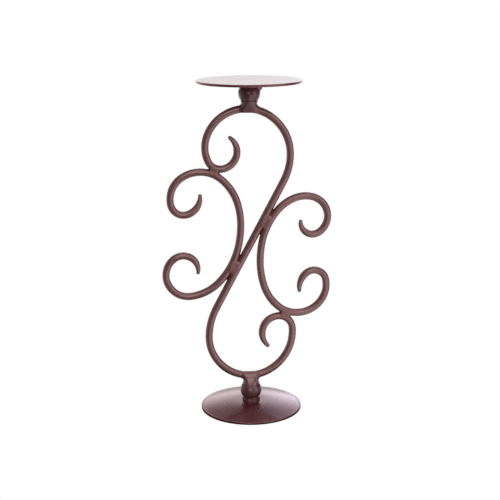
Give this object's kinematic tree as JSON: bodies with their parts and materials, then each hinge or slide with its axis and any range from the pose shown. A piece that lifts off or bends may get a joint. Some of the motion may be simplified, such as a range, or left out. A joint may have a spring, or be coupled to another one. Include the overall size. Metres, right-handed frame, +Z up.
{
  "type": "candle holder",
  "caption": "Scrolled iron stand for a pillar candle: a flat round plate on an S-shaped bar with C scrolls at its sides, carried by balls and collars on a domed round foot.",
  "frame": {"origin": "centre of the foot's rim, on the surface that the stand stands on", "axes": "+Z up along the stem axis through both balls, +X to the right of the scrolls and -Y to the front; the scrolls lie in the XZ plane"},
  "size_m": [0.1669, 0.102, 0.33],
  "materials": {
    "brown_paint": "satin"
  },
  "bodies": {
    "root": {"foot": "brown_paint", "lower_ball_weld": "brown_paint", "lower_ball": "brown_paint", "lower_collar": "brown_paint", "main_scroll": "brown_paint", "left_scroll": "brown_paint", "right_scroll": "brown_paint", "left_curl_weld": "brown_paint", "left_run_weld": "brown_paint", "right_curl_weld": "brown_paint", "right_run_weld": "brown_paint", "upper_collar": "brown_paint", "upper_ball": "brown_paint", "upper_ball_weld": "brown_paint", "candle_plate": "brown_paint"}
  },
  "joints": []
}
